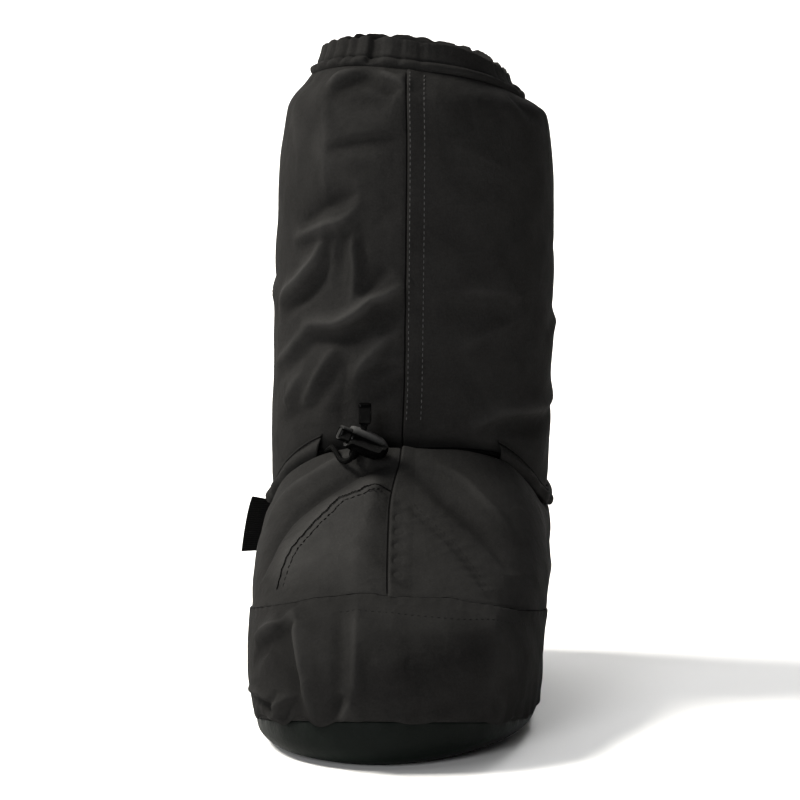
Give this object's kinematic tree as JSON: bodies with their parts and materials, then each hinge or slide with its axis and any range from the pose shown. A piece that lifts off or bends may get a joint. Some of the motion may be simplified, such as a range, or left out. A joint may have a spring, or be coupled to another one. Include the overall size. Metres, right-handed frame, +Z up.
{
  "type": "insulated_overshoe",
  "caption": "Tall padded fabric overshoe pulled on over a boot: gathered collar, ankle drawcord with spring cord lock, round toe cap and soft cup sole",
  "frame": {"origin": "on the floor, under the shaft's axis, on the flat heel part of the sole", "axes": "+Z up the shaft, -Y towards the toe, -X towards the side with the tab"},
  "size_m": [0.1805, 0.3469, 0.3669],
  "materials": {
    "sole": "matt coated",
    "footbed": "closed-cell foam with a cloth face",
    "shell": "plain weave, slight sheen",
    "cord": "braided elastic",
    "lock": "moulded",
    "webbing": "woven tape"
  },
  "bodies": {
    "boot": {"outsole": "sole", "insole": "footbed", "upper": "shell", "toe_cap": "shell", "front_seam_lap": "shell", "collar_casing": "shell", "cord_tunnel": "shell", "drawcord": "cord", "cord_lock_body": "lock", "cord_end": "lock", "side_tab": "webbing"},
    "lock_button": {"cord_lock_button": "lock"}
  },
  "joints": [
    {"name": "lock_press", "type": "slide", "parent": "boot", "child": "lock_button", "axis": [0.8624, 0.2808, -0.4212], "range_m": [0, 0.004], "stiffness_N_per_m": 60}
  ]
}
